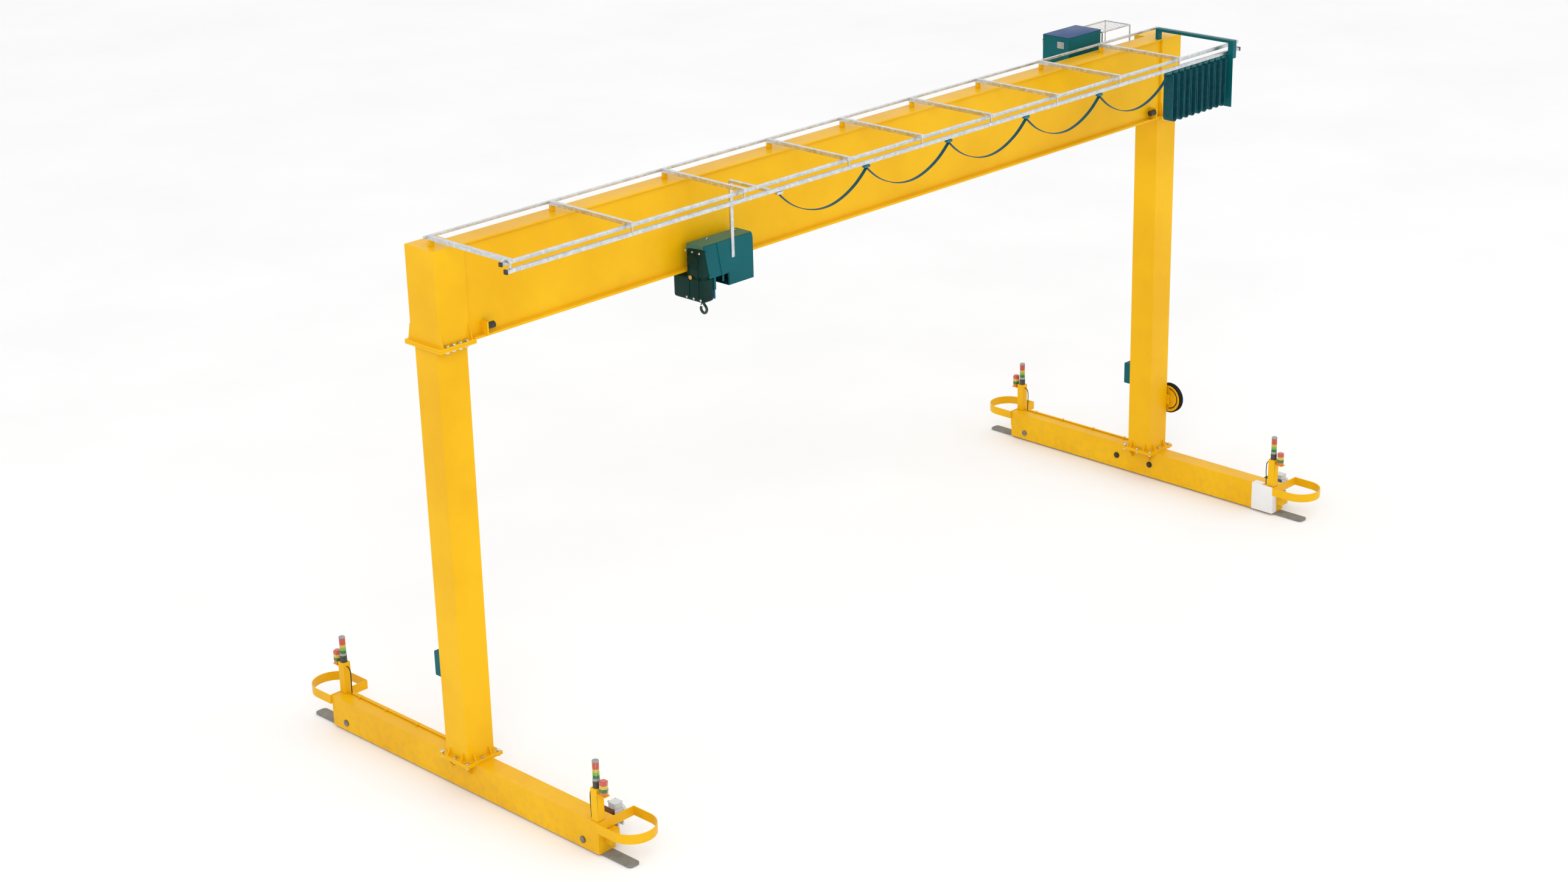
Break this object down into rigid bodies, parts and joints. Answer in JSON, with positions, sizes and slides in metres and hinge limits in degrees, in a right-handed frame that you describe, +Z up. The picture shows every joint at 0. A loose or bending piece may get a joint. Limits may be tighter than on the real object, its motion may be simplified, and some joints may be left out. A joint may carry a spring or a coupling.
{
  "type": "portable gantry crane",
  "caption": "Yellow single-girder gantry crane on wheeled carriages, with an underslung rope hoist trolley and a festoon cable track along the girder.",
  "frame": {"origin": "on the floor under the centre of the whole crane's box", "axes": "+X along the girder, -Y towards the festoon side, +Z up"},
  "size_m": [10.53, 4.5596, 5.27],
  "materials": {
    "structure_yellow": "gloss enamel",
    "zinc_steel": "galvanised",
    "steel": "machined",
    "forged_steel": "painted forging",
    "rope_steel": "greased wire",
    "case_teal": "enamel",
    "motor_grey": "enamel",
    "cover_white": "powder coat",
    "guard_grey": "worn",
    "rubber_black": "moulded",
    "wheel_tyre": "cast polyurethane",
    "roller_steel": "machined",
    "carrier_teal": "moulded",
    "cable_teal": "extruded",
    "cable_black": "extruded",
    "housing_dark": "moulded",
    "lens_green": "lens",
    "lens_amber": "lens",
    "lens_red": "lens",
    "beacon_lens": "lens"
  },
  "bodies": {
    "root": {"arm_posts": "structure_yellow", "bumper_hoops": "structure_yellow", "cabinet": "case_teal", "cable_track": "zinc_steel", "carriage_left": "structure_yellow", "carriage_plugs": "rubber_black", "carriage_right": "structure_yellow", "drive_cover": "cover_white", "end_frame": "case_teal", "festoon_loops": "cable_teal", "floor_guards": "guard_grey", "girder": "structure_yellow", "head_box_left": "structure_yellow", "head_box_right": "structure_yellow", "joint_bolts": "zinc_steel", "leg_boxes": "case_teal", "leg_left": "structure_yellow", "leg_right": "structure_yellow", "parked_cable": "cable_teal", "parked_carriers": "carrier_teal", "reel_bracket": "structure_yellow", "service_platform": "zinc_steel", "side_beacons": "beacon_lens", "signal_cables": "cable_black", "signal_posts": "structure_yellow", "stack_amber": "lens_amber", "stack_green": "lens_green", "stack_housings": "housing_dark", "stack_red": "lens_red", "track_arms": "zinc_steel", "track_caps": "rubber_black", "track_rails": "zinc_steel", "travel_motors": "motor_grey", "trolley_buffers": "rubber_black", "wheel_axles": "steel"},
    "trolley": {"trolley_frame": "steel", "gear_case": "case_teal", "drum_case": "case_teal", "hoist_motor": "motor_grey", "wire_rope": "rope_steel", "tow_arm": "zinc_steel"},
    "drum": {"rope_drum": "steel"},
    "hook_block": {"hook_block": "forged_steel"},
    "sheave": {"rope_sheave": "forged_steel"},
    "hook": {"hook": "forged_steel"},
    "latch": {"hook_latch": "forged_steel"},
    "cable_reel": {"cable_reel": "structure_yellow"},
    "cabinet_door": {"cabinet_door": "case_teal"},
    "trolley_wheel_1": {"trolley_wheel_1": "roller_steel"},
    "carrier_1": {"carrier_1": "carrier_teal"},
    "trolley_wheel_2": {"trolley_wheel_2": "roller_steel"},
    "carrier_2": {"carrier_2": "carrier_teal"},
    "trolley_wheel_3": {"trolley_wheel_3": "roller_steel"},
    "carrier_3": {"carrier_3": "carrier_teal"},
    "trolley_wheel_4": {"trolley_wheel_4": "roller_steel"},
    "carrier_4": {"carrier_4": "carrier_teal"},
    "wheel_left_near": {"wheel_left_near": "wheel_tyre"},
    "wheel_left_far": {"wheel_left_far": "wheel_tyre"},
    "wheel_right_near": {"wheel_right_near": "wheel_tyre"},
    "wheel_right_far": {"wheel_right_far": "wheel_tyre"}
  },
  "joints": [
    {"name": "trolley_travel", "type": "slide", "parent": "root", "child": "trolley", "axis": [1, 0, 0], "range_m": [-2.2, 5], "deforming": ["festoon_loops"]},
    {"name": "trolley_wheel_1_spin", "type": "hinge", "parent": "trolley", "child": "trolley_wheel_1", "pos_m": [-2.16, -0.244, 4.3163], "axis": [0, 1, 0], "continuous": true},
    {"name": "trolley_wheel_2_spin", "type": "hinge", "parent": "trolley", "child": "trolley_wheel_2", "pos_m": [-1.86, -0.244, 4.3163], "axis": [0, 1, 0], "continuous": true},
    {"name": "trolley_wheel_3_spin", "type": "hinge", "parent": "trolley", "child": "trolley_wheel_3", "pos_m": [-2.16, -0.016, 4.3163], "axis": [0, 1, 0], "continuous": true},
    {"name": "trolley_wheel_4_spin", "type": "hinge", "parent": "trolley", "child": "trolley_wheel_4", "pos_m": [-1.86, -0.016, 4.3163], "axis": [0, 1, 0], "continuous": true},
    {"name": "hook_lift", "type": "slide", "parent": "trolley", "child": "hook_block", "axis": [0, 0, -1], "range_m": [0, 3.3], "deforming": ["wire_rope"]},
    {"name": "drum_spin", "type": "hinge", "parent": "trolley", "child": "drum", "pos_m": [-2.075, -0.3853, 4.29], "axis": [1, 0, 0], "continuous": true},
    {"name": "sheave_spin", "type": "hinge", "parent": "hook_block", "child": "sheave", "pos_m": [-2.12, -0.215, 4.04], "axis": [1, 0, 0], "continuous": true},
    {"name": "hook_swivel", "type": "hinge", "parent": "hook_block", "child": "hook", "pos_m": [-2.12, -0.215, 3.872], "axis": [0, 0, 1], "continuous": true},
    {"name": "hook_latch_swing", "type": "hinge", "parent": "hook", "child": "latch", "pos_m": [-2.12, -0.196, 3.866], "axis": [1, 0, 0], "range_deg": [-30, 0], "stiffness_Nm_per_rad": 0.05, "springref_deg": 17.19},
    {"name": "reel_spin", "type": "hinge", "parent": "root", "child": "cable_reel", "pos_m": [5.16014, -0.2, 0.9], "axis": [1, 0, 0], "continuous": true},
    {"name": "cabinet_door_swing", "type": "hinge", "parent": "root", "child": "cabinet_door", "pos_m": [3.58, 0.4243, 5.085], "axis": [0, 0, 1], "range_deg": [0, 110]},
    {"name": "wheel_left_near_roll", "type": "hinge", "parent": "root", "child": "wheel_left_near", "pos_m": [-5.06, -1.65, 0.1], "axis": [1, 0, 0], "continuous": true},
    {"name": "wheel_left_far_roll", "type": "hinge", "parent": "root", "child": "wheel_left_far", "pos_m": [-5.06, 1.65, 0.1], "axis": [1, 0, 0], "continuous": true},
    {"name": "wheel_right_near_roll", "type": "hinge", "parent": "root", "child": "wheel_right_near", "pos_m": [4.94, -1.65, 0.1], "axis": [1, 0, 0], "continuous": true},
    {"name": "wheel_right_far_roll", "type": "hinge", "parent": "root", "child": "wheel_right_far", "pos_m": [4.94, 1.65, 0.1], "axis": [1, 0, 0], "continuous": true},
    {"name": "carrier_1_slide", "type": "slide", "parent": "root", "child": "carrier_1", "axis": [1, 0, 0], "range_m": [-1.762, 4.002]},
    {"name": "carrier_2_slide", "type": "slide", "parent": "root", "child": "carrier_2", "axis": [1, 0, 0], "range_m": [-1.322, 3.002]},
    {"name": "carrier_3_slide", "type": "slide", "parent": "root", "child": "carrier_3", "axis": [1, 0, 0], "range_m": [-0.882, 2.002]},
    {"name": "carrier_4_slide", "type": "slide", "parent": "root", "child": "carrier_4", "axis": [1, 0, 0], "range_m": [-0.442, 1.002]}
  ],
  "couplings": [
    {"joint": "trolley_wheel_1_spin", "follows": "trolley_travel", "rad_per_m": 18.182},
    {"joint": "trolley_wheel_2_spin", "follows": "trolley_travel", "rad_per_m": 18.182},
    {"joint": "trolley_wheel_3_spin", "follows": "trolley_travel", "rad_per_m": 18.182},
    {"joint": "trolley_wheel_4_spin", "follows": "trolley_travel", "rad_per_m": 18.182},
    {"joint": "carrier_1_slide", "follows": "trolley_travel", "ratio": 0.8},
    {"joint": "carrier_2_slide", "follows": "trolley_travel", "ratio": 0.6},
    {"joint": "carrier_3_slide", "follows": "trolley_travel", "ratio": 0.4},
    {"joint": "carrier_4_slide", "follows": "trolley_travel", "ratio": 0.2},
    {"joint": "drum_spin", "follows": "hook_lift", "rad_per_m": -22.222},
    {"joint": "sheave_spin", "follows": "hook_lift", "rad_per_m": 12.5}
  ]
}
